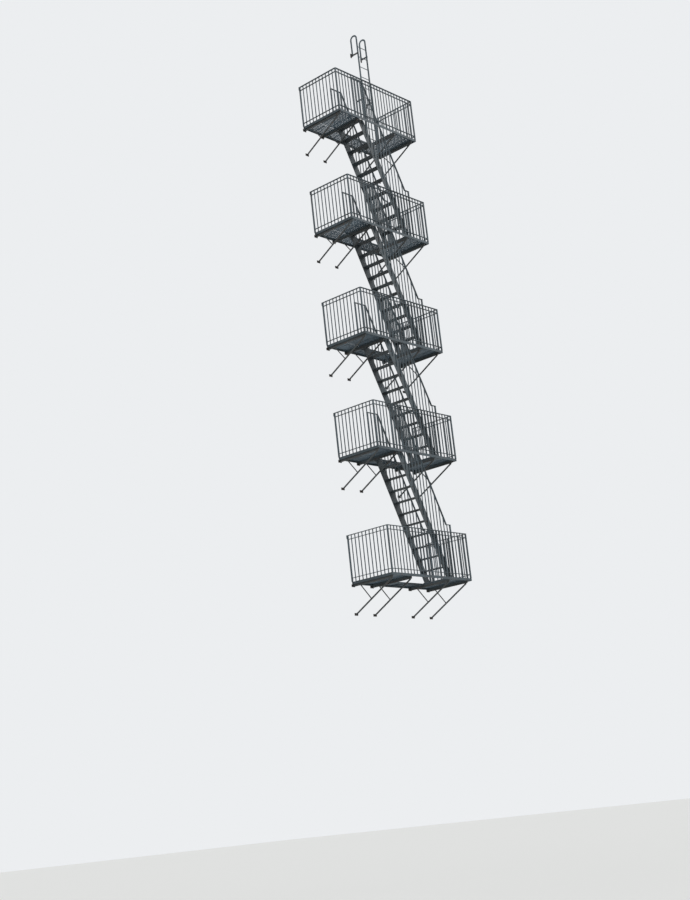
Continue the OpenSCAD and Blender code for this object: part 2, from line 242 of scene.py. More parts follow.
@dataclass(frozen=True)
class RustedForgedSteel:
    """Forged steel bolts whose zinc has gone."""

    # to the eye they are brown scale over dark, half-dull metal
    name: str
    scale_dark: str = "#2f2825"
    scale_light: str = "#573f30"
    bare: str = "#4a4d4e"
    mottle_mm: float = 9.0
    # rust grains are about 0.5 mm, drawn three times as coarse so that they show
    grain_mm: float = 1.5
    relief_mm: float = 0.5
    roughness: float = 0.8
    metallic: float = 0.35

    def material(self) -> bpy.types.Material:
        """Builds the node material.

        Returns:
            A material of two browns mixed by a mottle, with bare metal in its thin places.
        """
        made = bpy.data.materials.new(self.name)
        tree = empty_tree(made)
        place = add_node(tree, "TexCoord", {}).outputs["Object"]
        mottle, grain = [add_node(tree, "TexNoise", {
            "Vector": place, "Scale": 1000 / size_mm, "Detail": detail, "Roughness": rough}).outputs["Fac"]
            for size_mm, detail, rough in ((self.mottle_mm, 4.0, 0.6), (self.grain_mm, 2.0, 0.5))]
        colour = linear(self.scale_dark)
        for start, end, tint in ((0.35, 0.65, self.scale_light), (0.62, 0.72, self.bare)):
            amount = add_node(tree, "MapRange", {"Value": mottle, 1: start, 2: end}).outputs[0]
            mixed = add_node(tree, "Mix", {0: amount, 6: colour, 7: linear(tint)}, data_type="RGBA")
            colour = mixed.outputs[2]
        bump = add_node(tree, "Bump", {"Height": grain, "Strength": 0.6, "Distance": self.relief_mm / 1000})
        shader = add_node(tree, "BsdfPrincipled", {
            "Base Color": colour, "Roughness": self.roughness, "Normal": bump.outputs[0],
            "Metallic": self.metallic})
        add_node(tree, "OutputMaterial", {"Surface": shader.outputs[0]})
        return made


Finish = BrushedOilPaint | RustedForgedSteel
# each slot's sound, chalked and painted-shade colour, and what else is its own
PAINTS = {slot: BrushedOilPaint(f"brushed_oil_paint_{slot.name.lower()}", *tints, **own)
          for slot, tints, own in (
              (Slot.FRAME, ("#2f3b41", "#404d54", "#283338"), {}),
              (Slot.SLAT, ("#42525d", "#526470", "#394852"), {"dusty": "#737a7a", "patch_mm": 760.0}),
              (Slot.RAIL, ("#38444a", "#49565d", "#2e373c"), {"patch_mm": 480.0}),
              (Slot.BRACKET, ("#303434", "#424849", "#282b2b"), {"rust_from": 0.60}),
              (Slot.STRINGER, ("#2a3337", "#3c484d", "#23292c"), {"patch_mm": 900.0}),
              (Slot.TREAD, ("#2c353a", "#404b50", "#242c30"), {"dusty": "#6b7070"}),
              (Slot.LADDER, ("#404d54", "#56646b", "#343f45"), {}))}
BOLT_STEEL = RustedForgedSteel("rusted_forged_steel")


# Surfaces


def rows_of(x: ArrayLike, y: ArrayLike, z: ArrayLike) -> np.ndarray:
    """Points, or other threes, from their columns; a single number stands for a whole column."""
    return np.stack(np.broadcast_arrays(x, y, z), axis=-1)


def meshed(xs: ArrayLike, ys: ArrayLike, z: float) -> np.ndarray:
    """Every x with every y at one height, as (count, 3) points, x changing slowest."""
    return np.stack(np.meshgrid(xs, ys, z, indexing="ij"), axis=-1).reshape(-1, 3)


def round_circle(sides: int) -> np.ndarray:
    """The cosines and the sines of angles 2 pi j / sides, as two rows."""
    angle = 2 * np.pi * np.arange(sides) / sides
    return np.stack([np.cos(angle), np.sin(angle)])


@dataclass(frozen=True)
class Surface:
    """One or more closed surfaces as whole arrays: points (n, 3), quads (m, 4), triangles (k, 3)."""

    points: np.ndarray
    quads: np.ndarray
    triangles: np.ndarray

    def repeated(self, origins: ArrayLike, turns: ArrayLike) -> "Surface":
        """Copies the surface to many places.

        Copy k of point p is turns[k] p + origins[k], for all copies at once.

        Args:
            origins: (count, 3) places.
            turns: (count, 3, 3) turns, or one (3, 3) turn for all.

        Returns:
            All the copies as one Surface.
        """
        origins = np.asarray(origins, float)
        turns = np.broadcast_to(turns, (len(origins), 3, 3))
        points = np.einsum("kij,nj->kni", turns, self.points) + origins[:, None, :]
        shift = np.arange(len(origins))[:, None, None] * len(self.points)
        return Surface(points.reshape(-1, 3), (self.quads + shift).reshape(-1, 4),
                       (self.triangles + shift).reshape(-1, 3))


def joined(surfaces: list[Surface]) -> Surface:
    """Puts surfaces into one, each one's faces counted on from the points before it.

    Args:
        surfaces: what to put together.

    Returns:
        One Surface with all their points and faces.
    """
    shifts = np.cumsum([0] + [len(s.points) for s in surfaces[:-1]])
    return Surface(np.concatenate([s.points for s in surfaces]),
                   np.concatenate([s.quads + n for s, n in zip(surfaces, shifts)]),
                   np.concatenate([s.triangles + n for s, n in zip(surfaces, shifts)]))


def shell(rings: np.ndarray, ends: np.ndarray | None) -> Surface:
    """Closes a row of rings: quads join each ring to the next, and fans close the two ends.

    Args:
        rings: (n, m, 3) points, each ring going round counter-clockwise seen from ahead.
        ends: (2, 3) middles of the fans, or None where the last ring joins the first.

    Returns:
        The closed surface, its faces outwards.
    """
    n, m = rings.shape[:2]
    j = np.arange(m)
    after = (j + 1) % m
    here = (np.arange(n if ends is None else n - 1) * m)[:, None]
    there = (here + m) % (n * m)
    quads = np.stack([here + j, here + after, there + after, there + j], axis=-1).reshape(-1, 4)
    points = rings.reshape(-1, 3)
    if ends is None:
        return Surface(points, quads, np.zeros((0, 3), int))
    last = (n - 1) * m
    triangles = np.vstack([rows_of(n * m, after, j), rows_of(n * m + 1, last + j, last + after)])
    return Surface(np.vstack([points, ends]), quads, triangles)


def turned(profile: np.ndarray, sides: int) -> Surface:
    """A closed surface of revolution about Z.

    Point (i, j) is (r_i cos a_j, r_i sin a_j, h_i) with a_j = 2 pi j / sides. The profile
    runs upwards, and its first and last points become the poles.

    Args:
        profile: (n, 2) radii and heights.
        sides: number of points round the axis.

    Returns:
        The closed surface, its faces outwards.
    """
    radius, height = profile[1:-1, :1], profile[1:-1, 1:]
    cosine, sine = round_circle(sides)
    return shell(rows_of(radius * cosine, radius * sine, height), rows_of(0.0, 0.0, profile[[0, -1], 1]))


def swept(path: np.ndarray, across: np.ndarray, rise: np.ndarray, profile: np.ndarray, loop: bool) -> Surface:
    """A closed profile carried along a path.

    Point (i, j) is path_i + u_j across_i + v_j rise_i, where (u_j, v_j) is the profile. An
    open path is closed at each end by a fan from the middle of its section.

    Args:
        path: (n, 3) points.
        across: (n, 3) or (3,) direction of the profile's first axis.
        rise: the same for its second axis, with across x rise along the path.
        profile: (m, 2) or (n, m, 2) points, going round counter-clockwise.
        loop: whether the path's end meets its start.

    Returns:
        The closed surface, its faces outwards.
    """
    rings = path[:, None] + profile[..., :1] * across[..., None, :] + profile[..., 1:] * rise[..., None, :]
    return shell(rings, None if loop else rings[[0, -1]].mean(axis=1))


def facing(direction: ArrayLike, spins: ArrayLike = 0.0) -> np.ndarray:
    """Turns that take Z to a direction.

    The columns are u, v and d, where d is the direction, u is square to it and v = d x u,
    after a spin a about d: u' = u cos a + v sin a.

    Args:
        direction: (3,) or (count, 3) directions.
        spins: one angle or one for each copy.

    Returns:
        (count, 3, 3) turns.
    """
    spins = np.atleast_1d(spins)
    d = np.atleast_2d(direction).astype(float)
    d = np.broadcast_to(d / np.linalg.norm(d, axis=1, keepdims=True), (max(len(spins), len(d)), 3))
    # u is square to Z too, or to X where the direction is so steep that Z would be no guide
    steep = np.abs(d[:, 2:]) > 0.9
    helper = np.where(steep, X_AXIS, Z_AXIS)
    u = np.cross(helper, d)
    u /= np.linalg.norm(u, axis=1, keepdims=True)
    v = np.cross(d, u)
    c, s = np.cos(spins)[:, None], np.sin(spins)[:, None]
    return np.stack([u * c + v * s, v * c - u * s, d], axis=-1)


class Fixing:
    """A small part with its axis along Z and its foot SUNK below Z = 0, set in many places."""

    def surface(self) -> Surface:
        """Builds the part."""
        raise NotImplementedError

    def at(self, places: ArrayLike, direction: ArrayLike, spins: ArrayLike = 0.0) -> Surface:
        """Copies of the part, each with its axis turned to a direction and spun about it."""
        return self.surface().repeated(places, facing(direction, spins))


@dataclass(frozen=True)
class RivetHead(Fixing):
    """A snap rivet's round head, seen on the face of a bar."""

    width: float = 0.018
    height: float = 0.0065
    sides: int = 10
    rings: int = 3

    def surface(self) -> Surface:
        """Half an ellipsoid on a short rim: radius R cos t and height H sin t, t to a right angle.

        Returns:
            The head.
        """
        t = np.linspace(0, np.pi / 2, self.rings + 1)
        dome = np.column_stack([self.width / 2 * np.cos(t), self.height * np.sin(t)])
        return turned(np.vstack([[0, -SUNK], [self.width / 2, -SUNK], dome]), self.sides)


@dataclass(frozen=True)
class HexBolt(Fixing):
    """A hexagon nut on a washer, with the bolt's end standing out of it."""

    across_flats: float = 0.021
    nut_height: float = 0.011
    washer_d: float = 0.030
    washer_t: float = 0.0025
    stud_d: float = 0.014
    stud_out: float = 0.005
    shank: float = 0.0
    washer_ease: float = 0.001
    stud_ease: float = 0.0015
    # the angle of the cut that takes the nut's top corners off
    nut_cut: float = math.radians(30)
    # shares of the washer's thickness at its rim and of the nut's width on its top
    washer_rim: float = 0.7
    nut_face: float = 0.97
    washer_sides: int = 16
    stud_sides: int = 12

    def surface(self) -> Surface:
        """Washer, six-sided nut, stud end and shank, each a profile turned about Z, joined.

        Returns:
            The bolt.
        """
        half, seat, top = self.washer_d / 2, self.washer_t, self.washer_t + self.nut_height
        flat, corner = self.across_flats / 2, self.across_flats / math.sqrt(3)
        cut = (corner - flat) * math.tan(self.nut_cut)
        r, end, ease = self.stud_d / 2, top + self.stud_out, self.stud_ease
        washer = [[0, -SUNK], [half, -SUNK], [half, seat * self.washer_rim],
                  [half - self.washer_ease, seat], [0, seat]]
        nut = [[0, seat - SUNK], [corner, seat - SUNK], [corner, top - cut],
               [flat * self.nut_face, top], [0, top]]
        stud = [[0, top - SUNK], [r, top - SUNK], [r, end - ease], [r - ease, end], [0, end]]
        shank = [[0, -self.shank], [r, -self.shank], [r, SUNK], [0, SUNK]]
        profiles = [(washer, self.washer_sides), (nut, 6), (stud, self.stud_sides)]
        if self.shank > 0:
            profiles.append((shank, self.stud_sides))
        return joined([turned(np.array(profile), sides) for profile, sides in profiles])

    def spun(self, places: np.ndarray, direction: np.ndarray, draws: np.random.Generator) -> Surface:
        """Copies of the bolt, each turned its own way by the next number drawn."""
        return self.at(places, direction, draws.uniform(0, 2 * np.pi, len(places)))


@dataclass(frozen=True)
class FootPlate(Fixing):
    """A small riveted plate with rounded corners and eased edges."""

    width: float = 0.070
    depth: float = 0.058
    thickness: float = 0.006
    corner: float = 0.008
    ease: float = 0.001
    corner_points: int = 4

    def surface(self) -> Surface:
        """An outline of four quarter circles carried up, drawn in a little at the top.

        Returns:
            The plate.
        """
        t = np.linspace(0, np.pi / 2, self.corner_points)
        quarter = np.concatenate([t + k * np.pi / 2 for k in range(4)])
        x = np.repeat([1, -1, -1, 1], self.corner_points) * (self.width / 2 - self.corner)
        y = np.repeat([1, 1, -1, -1], self.corner_points) * (self.depth / 2 - self.corner)
        out = np.column_stack([x + self.corner * np.cos(quarter), y + self.corner * np.sin(quarter)])
        eased = out * [1 - 2 * self.ease / self.width, 1 - 2 * self.ease / self.depth]
        path = rows_of(0.0, 0.0, [-SUNK, self.thickness - self.ease, self.thickness])
        return swept(path, X_AXIS, Y_AXIS, np.stack([out, out, eased]), False)


@dataclass(frozen=True)
class AngleCleat:
    """A short piece of rolled angle that joins two bars which meet square."""

    leg: float = 0.042
    thickness: float = 0.005
    height: float = 0.030
    bend: float = 0.004
    ease: float = 0.0012
    bend_points: int = 5
    # where a rivet stands on a leg, as a share of the leg's length
    rivet_at: float = 0.62

    def surface(self) -> Surface:
        """A cleat in the corner of +X and +Y, its foot at Z = 0.

        The path runs in along X, round a quarter circle and out along Y. The section is a
        flat strip with eased edges.

        Returns:
            The closed cleat.
        """
        r, half, ease, top = self.bend, self.thickness / 2, self.ease, self.height
        t = np.linspace(np.pi * 1.5, np.pi, self.bend_points)
        arc = half + r + r * np.column_stack([np.cos(t), np.sin(t)])
        flat = np.vstack([[self.leg, half], arc, [half, self.leg]])
        step = np.gradient(flat, axis=0)
        step[0], step[-1] = (-1, 0), (0, 1)
        step /= np.linalg.norm(step, axis=1, keepdims=True)
        # across x rise lies along the path, and rise is Z, so across is Z x along
        across = rows_of(-step[:, 1], step[:, 0], 0.0)
        profile = np.array([[half, ease], [half, top - ease], [half - ease, top], [-half + ease, top],
                            [-half, top - ease], [-half, ease], [-half + ease, 0], [half - ease, 0]])
        return swept(rows_of(*flat.T, 0.0), across, Z_AXIS, profile, False)

    def in_corners(self, corners: np.ndarray, sx: np.ndarray, sy: np.ndarray) -> Surface:
        """Copies in corners that open towards sx X and sy Y.

        The cleat is its own mirror image, so a turn about Z serves each corner. Its cosine is
        (sx + sy) / 2 and its sine (sy - sx) / 2.

        Args:
            corners: (count, 3) feet of the corners.
            sx: 1 or -1 for each corner.
            sy: 1 or -1 for each corner.

        Returns:
            All the copies as one Surface.
        """
        c, s = (sx + sy) / 2, (sy - sx) / 2
        turns = np.stack([rows_of(c, -s, 0.0), rows_of(s, c, 0.0), rows_of(0 * c, 0.0, 1.0)], axis=1)
        return self.surface().repeated(corners, turns)

    def rivet_spots(self, corners: np.ndarray, sx: np.ndarray, sy: np.ndarray) -> list[np.ndarray]:
        """Where the rivets stand on the legs along X and on the legs along Y, for such corners."""
        back, face, mid = self.leg * self.rivet_at, self.thickness, self.height / 2
        return [corners + rows_of(sx * a, sy * b, mid) for a, b in ((back, face), (face, back))]


@dataclass(frozen=True)
class WeldBead:
    """A hand-laid fillet weld: a half-round bead with a slow ripple along its run."""

    leg: float = 0.005
    ripple: float = 0.14
    # real ripples are about 2 mm apart, drawn four times as coarse to keep the mesh light
    ripple_pitch: float = 0.008
    sides: int = 8

    def around(self, corners: np.ndarray, normal: np.ndarray) -> Surface:
        """A bead round a closed outline on a face.

        The section is a ring of radius leg (1 + ripple cos(2 pi s / pitch)), s being the
        length run along the outline.

        Args:
            corners: (n, 3) corners of the outline, counter-clockwise seen against the normal.
            normal: the face's outward direction.

        Returns:
            The closed bead.
        """
        edges = np.roll(corners, -1, axis=0) - corners
        lengths = np.linalg.norm(edges, axis=1)
        counts = np.maximum(2, np.round(lengths / (self.ripple_pitch / 2)).astype(int))
        part = np.concatenate([np.arange(c) / c for c in counts])
        side = np.repeat(np.arange(len(corners)), counts)
        path = corners[side] + part[:, None] * edges[side]
        along = np.roll(path, -1, axis=0) - np.roll(path, 1, axis=0)
        along /= np.linalg.norm(along, axis=1, keepdims=True)
        run = np.concatenate([[0.0], np.cumsum(lengths)[:-1]])[side] + part * lengths[side]
        wave = 1 + self.ripple * np.cos(2 * np.pi * run / self.ripple_pitch)
        ring = self.leg * round_circle(self.sides).T
        # across x rise lies along the path, and rise is the normal, so across is normal x along
        return swept(path, np.cross(normal, along), normal, ring * wave[:, None, None], True)


# Sizes


def whole(value: float) -> int:
    """The nearest whole number, halves upwards."""
    return math.floor(value + 0.5)


@dataclass(frozen=True)
class Layout:
    """Sizes and places of the fire escape in metres, the same as its solids have.

    A level, floor or platform is counted from the lowest, which is 1, and so is a flight.
    """

    balconies: int = 5
    storey_h: float = 2.900
    lowest_drop: float = 0.115
    third_drop: float = 0.065
    balcony_len: float = 2.950
    balcony_d: float = 1.270
    wall_gap: float = 0.020
    edge_h: float = 0.064
    edge_t: float = 0.010
    cross_h: float = 0.044
    bar_w: float = 0.020
    slat_t: float = 0.010
    slat_pitch: float = 0.054
    batten_t: float = 0.008
    panel_gap: float = 0.002
    opening_x: float = 0.712
    opening_len: float = 1.391
    walkway_w: float = 0.401
    first_bracket_x: float = 0.040
    last_bracket_x: float = 0.140
    beam_h: float = 0.050
    beam_setback: float = 0.024
    foot_drop: float = 0.700
    strut_h: float = 0.034
    strut_w: float = 0.018
    brace_top_y: float = 0.225
    brace_low_y: float = 0.525
    plate_t: float = 0.012
    bolt_spacing: float = 0.072
    rail_top_h: float = 1.176
    top_rail_w: float = 0.044
    picket_s: float = 0.018
    picket_pitch: float = 0.115
    flange_t: float = 0.010
    post_s: float = 0.032
    head_gap: float = 0.164
    stair_run: float = 1.345
    stringer_w: float = 0.200
    stringer_t: float = 0.012
    inner_gap: float = 0.016
    outer_gap: float = 0.052
    shoe_t: float = 0.008
    head_arm_h: float = 0.110
    riser_h: float = 0.278
    tread_bar_w: float = 0.038
    tread_bar_t: float = 0.009
    tread_bars: int = 4
    tread_bar_gap: float = 0.011
    cleat_s: float = 0.034
    cleat_t: float = 0.006
    handrail_rise: float = 1.570
    newel_run: float = 0.140
    picket_lap: float = 0.060
    ladder_x: float = 2.282
    ladder_w: float = 0.350
    ladder_y: float = 0.232
    stile_d: float = 0.046
    stile_t: float = 0.010
    ladder_h: float = 3.430
    neck_r: float = 0.098
    neck_leg: float = 0.470
    rung_d: float = 0.020
    rung_pitch: float = 0.300
    ladder_plate_w: float = 0.050
    ladder_bolt_spacing: float = 0.080
    ladder_bracket_h: float = 1.500

    @property
    def left_x(self) -> float:
        """The balcony's left end."""
        return -self.first_bracket_x

    @property
    def right_x(self) -> float:
        """The balcony's right end."""
        return self.left_x + self.balcony_len

    @property
    def rail_xs(self) -> np.ndarray:
        """Middle planes of the left and the right end railing."""
        return np.array([self.left_x + self.edge_t / 2, self.right_x - self.edge_t / 2])

    @property
    def open_x(self) -> tuple[float, float]:
        """Both ends of the stair opening."""
        start = self.left_x + self.opening_x
        return start, start + self.opening_len

    @property
    def bracket_xs(self) -> np.ndarray:
        """The four brackets along the wall."""
        a, b = self.open_x
        return np.array([0.0, a - self.bar_w / 2, b + self.bar_w / 2, self.right_x - self.last_bracket_x])

    @property
    def back_y(self) -> float:
        """Inner face of the back bar."""
        return -(self.wall_gap + self.edge_t)

    @property
    def front_y(self) -> float:
        """Inner face of the front bar."""
        return -(self.balcony_d - self.edge_t)

    @property
    def to_wall(self) -> float:
        """Distance from the wall to the middle of the back bar."""
        return self.wall_gap + self.edge_t / 2

    @property
    def open_y(self) -> float:
        """Back edge of the stair opening."""
        return self.back_y - self.walkway_w

    @property
    def floor_top(self) -> float:
        """Top of the floor slats above a platform's underside."""
        return self.cross_h + self.slat_t

    @property
    def tip_y(self) -> float:
        """Where the strut's middle line meets the beam, near the beam's outer end."""
        return -(self.balcony_d - self.beam_setback) + self.strut_h

    @property
    def rail_ys(self) -> tuple[float, float]:
        """Middle planes of the outer and the inner stair rail."""
        half = self.top_rail_w / 2
        return self.front_y + self.outer_gap + half, self.open_y - self.inner_gap - half

    @property
    def stringer_ys(self) -> tuple[float, float]:
        """Middle planes of the outer and the inner stringer, which lie beside the pickets."""
        beside = (self.picket_s + self.stringer_t) / 2
        return self.rail_ys[0] + beside, self.rail_ys[1] - beside

    @property
    def head_cx(self) -> float:
        """Middle of a stringer at its head."""
        return self.open_x[0] + self.head_gap

    @property
    def foot_cx(self) -> float:
        """Middle of a stringer at its foot."""
        return self.head_cx + self.stair_run

    @property
    def tread_d(self) -> float:
        """Depth of a tread."""
        return self.tread_bars * self.tread_bar_w + (self.tread_bars - 1) * self.tread_bar_gap

    @property
    def neck_z(self) -> float:
        """Height at which the ladder's stiles begin to bend over."""
        return self.level(self.balconies) + self.ladder_h - self.neck_r - self.stile_d / 2

    @property
    def stile_xs(self) -> tuple[float, float]:
        """Both stiles of the ladder."""
        start = self.left_x + self.ladder_x
        return start, start + self.ladder_w

    def level(self, k: int) -> float:
        """Underside of platform k."""
        hung = (self.lowest_drop if k > 1 else 0.0) - (self.third_drop if k == 3 else 0.0)
        return self.foot_drop + hung + (k - 1) * self.storey_h

    def floor(self, k: int) -> float:
        """Top of the floor of balcony k."""
        return self.level(k) + self.floor_top

    def climb(self, k: int) -> float:
        """Height of flight k from floor to floor."""
        return self.floor(k + 1) - self.floor(k)

    def slope(self, k: int) -> float:
        """Fall of flight k for each metre along the wall."""
        return self.climb(k) / self.stair_run

    def foot_x(self, k: int) -> float:
        """Far edge of a stringer at its foot, half of its level width on from the middle."""
        return self.foot_cx + self.stringer_w / 2 / math.sin(math.atan(self.slope(k)))

    def treads(self, k: int) -> tuple[np.ndarray, np.ndarray]:
        """Places of the treads of flight k: equal steps up the stringer's middle line.

        Args:
            k: the flight.

        Returns:
            The middle x and the top z of each tread, from the lowest up.
        """
        n = whole(self.climb(k) / self.riser_h)
        z = self.floor(k) + self.climb(k) * np.arange(1, n + 1) / n
        return self.head_cx + (self.floor(k + 1) - z) / self.slope(k), z

    def row(self, span: float) -> np.ndarray:
        """Places of the pickets between two posts a span apart."""
        n = whole(span / self.picket_pitch)
        return np.arange(1, n) * span / n

    def stair_newels(self, k: int) -> tuple[float, float]:
        """Middle x of the head newel and of the foot newel of flight k."""
        return self.open_x[0] - self.post_s / 2 - self.panel_gap, self.foot_x(k) + self.newel_run

    def stair_pickets(self, k: int) -> np.ndarray:
        """Middle x of each picket of flight k, evenly between its newels."""
        head, foot = self.stair_newels(k)
        return head + self.row(foot - head)

    def handrail_z(self, k: int, x: np.ndarray) -> np.ndarray:
        """Top of the handrail: level, then falling with the stair to its foot, then level.

        Args:
            k: the flight.
            x: places along the wall.

        Returns:
            The height at each place.
        """
        top = self.level(k + 1) + self.rail_top_h
        bend = self.head_cx + (self.floor(k + 1) + self.handrail_rise - top) / self.slope(k)
        return top - np.maximum(0.0, np.minimum(x, self.foot_x(k)) - bend) * self.slope(k)

    def strut_line(self, y: float) -> float:
        """Height of a strut's middle line over the platform's underside, even from foot to tip."""
        share = (y + self.plate_t) / (self.tip_y + self.plate_t)
        return -self.foot_drop + share * (self.foot_drop - self.beam_h)


# Sub-assemblies


def placed(name: str, data: bpy.types.ID) -> bpy.types.Object:
    """Makes an object at the origin and links it to the scene.

    Args:
        name: the object's name.
        data: its mesh, lamp or camera.

    Returns:
        The object.
    """
    made = bpy.data.objects.new(name, data)
    bpy.context.scene.collection.objects.link(made)
    return made


@dataclass
class SubAssembly:
    """What the parts of the fire escape share: sizes, finishes and how a piece is added."""

    layout: Layout
    materials: dict[Finish, bpy.types.Material]
    rivet: RivetHead = RivetHead()
    small_rivet: RivetHead = RivetHead(0.013, 0.005, 8, 2)
    anchor: HexBolt = HexBolt(shank=0.0115)
    # how far a cleat's foot stands above the bars' underside
    cleat_up: float = 0.004

    def add(self, name: str, parts: list[Surface], slot: Slot, bare: RustedForgedSteel | None = None) -> None:
        """Makes a piece from surfaces, with its place in its mesh, and puts it on the body.

        Args:
            name: the piece's name.
            parts: the surfaces that it is made of.
            slot: the record's slot that it goes with.
            bare: its finish where it isn't painted; otherwise it has the slot's paint.
        """
        whole_piece = joined(parts)
        quads, triangles = whole_piece.quads, whole_piece.triangles
        corners = np.concatenate([quads.ravel(), triangles.ravel()])
        starts = np.concatenate([np.arange(len(quads)) * 4, quads.size + np.arange(len(triangles)) * 3])
        mesh = bpy.data.meshes.new(name)
        mesh.vertices.add(len(whole_piece.points))
        mesh.vertices.foreach_set("co", whole_piece.points.astype(np.float32).ravel())
        mesh.loops.add(len(corners))
        mesh.loops.foreach_set("vertex_index", corners.astype(np.int32))
        mesh.polygons.add(len(starts))
        mesh.polygons.foreach_set("loop_start", starts.astype(np.int32))
        mesh.update(calc_edges=True)
        mesh.validate()
        mesh.polygons.foreach_set("use_smooth", np.ones(len(mesh.polygons), bool))
        mesh.set_sharp_from_angle(angle=math.radians(SHARP_FROM))
        mesh.materials.append(self.materials[bare or PAINTS[slot]])
        piece = placed(name, mesh)
        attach(piece, "root")
        log.info("%s: %d faces", name, len(mesh.polygons))


@dataclass
class BalconyFixings(SubAssembly):
    """Rivets, cleats, bolts and welds of one balcony, counted from the lowest."""

    k: int = 1
    # how far the rivets of the outer slats are drawn in, as a share of their own width
    drawn_in: float = 0.7
    cleat: AngleCleat = AngleCleat()
    bead: WeldBead = WeldBead()
    flange_bolt: HexBolt = HexBolt(0.016, 0.008, 0.022, 0.002, 0.010, 0.003)
    # the flange bolts' distances below the top rail
    flange_bolt_drops: tuple[float, float] = (0.034, 0.064)
    lug_w: float = 0.034
    lug_t: float = 0.0055
    # how much a post's lug falls short of the edge bar's height, and the radius of its corners
    lug_short: float = 0.006
    lug_rivet_reach: float = 0.017
    # the side lugs' distances from the front edge and from the back bar's middle
    side_lugs_in: tuple[float, float] = (0.020, 0.008)
    # the rivet at a strut's tip, in along the beam and up from the beam's underside
    tip_rivet: tuple[float, float] = (0.016, 0.010)
    first_seed: int = 40

    def build(self) -> None:
        """Makes every piece of the balcony."""
        self.slat_rivets()
        self.frame_cleats()
        self.rail_rivets()
        self.post_lugs()
        self.bracket_rivets()
        self.bracket_welds()
        self.anchor_bolts()

    def panels(self) -> list[tuple[np.ndarray, np.ndarray]]:
        """The slatted panels: one along the wall and one on each side of the opening.

        The long panel has a batten in the middle of each bay, a side panel has one a quarter
        of its length from either end. The battens end under the middle of the outer slats, so
        the outer rivets are drawn in a little.

        Returns:
            For each panel, the x of its battens and the y of the rivets on its slats.
        """
        s = self.layout
        x = s.bracket_xs
        bays = np.array([x[0], x[1], sum(s.open_x) / 2, x[2], x[3]])
        quarters = np.array([0.25, 0.75])
        inset = self.small_rivet.width * self.drawn_in
        found = []
        for y0, y1, battens in (
                (s.open_y + s.edge_t / 2, s.back_y - s.panel_gap, (bays[1:] + bays[:-1]) / 2),
                (s.front_y + s.panel_gap, s.open_y, x[0] + quarters * (x[1] - x[0])),
                (s.front_y + s.panel_gap, s.open_y, x[2] + quarters * (x[3] - x[2]))):
            rows = whole((y1 - y0) / s.slat_pitch)
            slats = y0 + (np.arange(rows) + 0.5) * ((y1 - y0) / rows)
            found.append((battens, np.clip(slats, slats[0] + inset, slats[-1] - inset)))
        return found

    def slat_rivets(self) -> None:
        """A rivet through each slat and each batten, with a head above and one below."""
        s = self.layout
        z = s.level(self.k)
        parts = [self.small_rivet.at(meshed(battens, slats, height), way)
                 for battens, slats in self.panels()
                 for height, way in ((z + s.floor_top, Z_AXIS), (z + s.cross_h - s.batten_t, -Z_AXIS))]
        self.add(f"balcony_{self.k}_slat_rivets", parts, Slot.SLAT)

    def frame_cleats(self) -> None:
        """Angle cleats in the platform's corners and where its cross bars meet the long bars."""
        s = self.layout
        half = s.bar_w / 2
        left, right = s.left_x + s.edge_t, s.right_x - s.edge_t
        # each corner: x and the way along X that it opens, y and the way along Y
        corners = [(x, sx, y, sy) for y, sy in ((s.front_y, 1), (s.back_y, -1))
                   for x, sx in ((left, 1), (right, -1))]
        for x, sx in zip(s.bracket_xs, (1, -1, 1, -1)):
            corners += [(x + sx * half, sx, s.front_y, 1), (x + sx * half, sx, s.back_y, -1)]
        corners += [(s.open_x[0], 1, s.open_y, -1), (s.open_x[1], -1, s.open_y, -1)]
        x, sx, y, sy = np.array(corners).T
        feet = rows_of(x, y, s.level(self.k) + self.cleat_up)
        on_x, on_y = self.cleat.rivet_spots(feet, sx, sy)
        # the same rivets are seen on the outer faces of the front bar and of the end bars
        front = y == s.front_y
        ends = (x == left) | (x == right)
        on_end = rows_of(np.where(sx[ends] > 0, s.left_x, s.right_x), *on_y[ends, 1:].T)
        parts = [self.cleat.in_corners(feet, sx, sy),
                 self.rivet.at(on_x, np.outer(sy, Y_AXIS)),
                 self.rivet.at(on_y, np.outer(sx, X_AXIS)),
                 self.rivet.at(on_x[front] * [1, 0, 1] - [0, s.balcony_d, 0], -Y_AXIS),
                 self.rivet.at(on_end, np.outer(-sx[ends], X_AXIS))]
        self.add(f"balcony_{self.k}_frame_cleats", parts, Slot.FRAME)

    def rail_rivets(self) -> None:
        """The pickets' ends, hammered over into low heads on the top rails and post tops."""
        s = self.layout
        z = s.level(self.k) + s.rail_top_h
        xs, front = s.rail_xs, -s.balcony_d + s.edge_t / 2
        on_front = xs[0] + s.row(xs[1] - xs[0])
        on_sides = -s.to_wall - s.row(s.balcony_d - s.edge_t / 2 - s.to_wall)
        heads = np.vstack([meshed(on_front, front, z), meshed(xs, on_sides, z)])
        parts = [self.small_rivet.at(heads, Z_AXIS),
                 self.rivet.at(meshed(xs, [front, -s.to_wall], z), Z_AXIS)]
        self.add(f"balcony_{self.k}_rail_rivets", parts, Slot.RAIL)

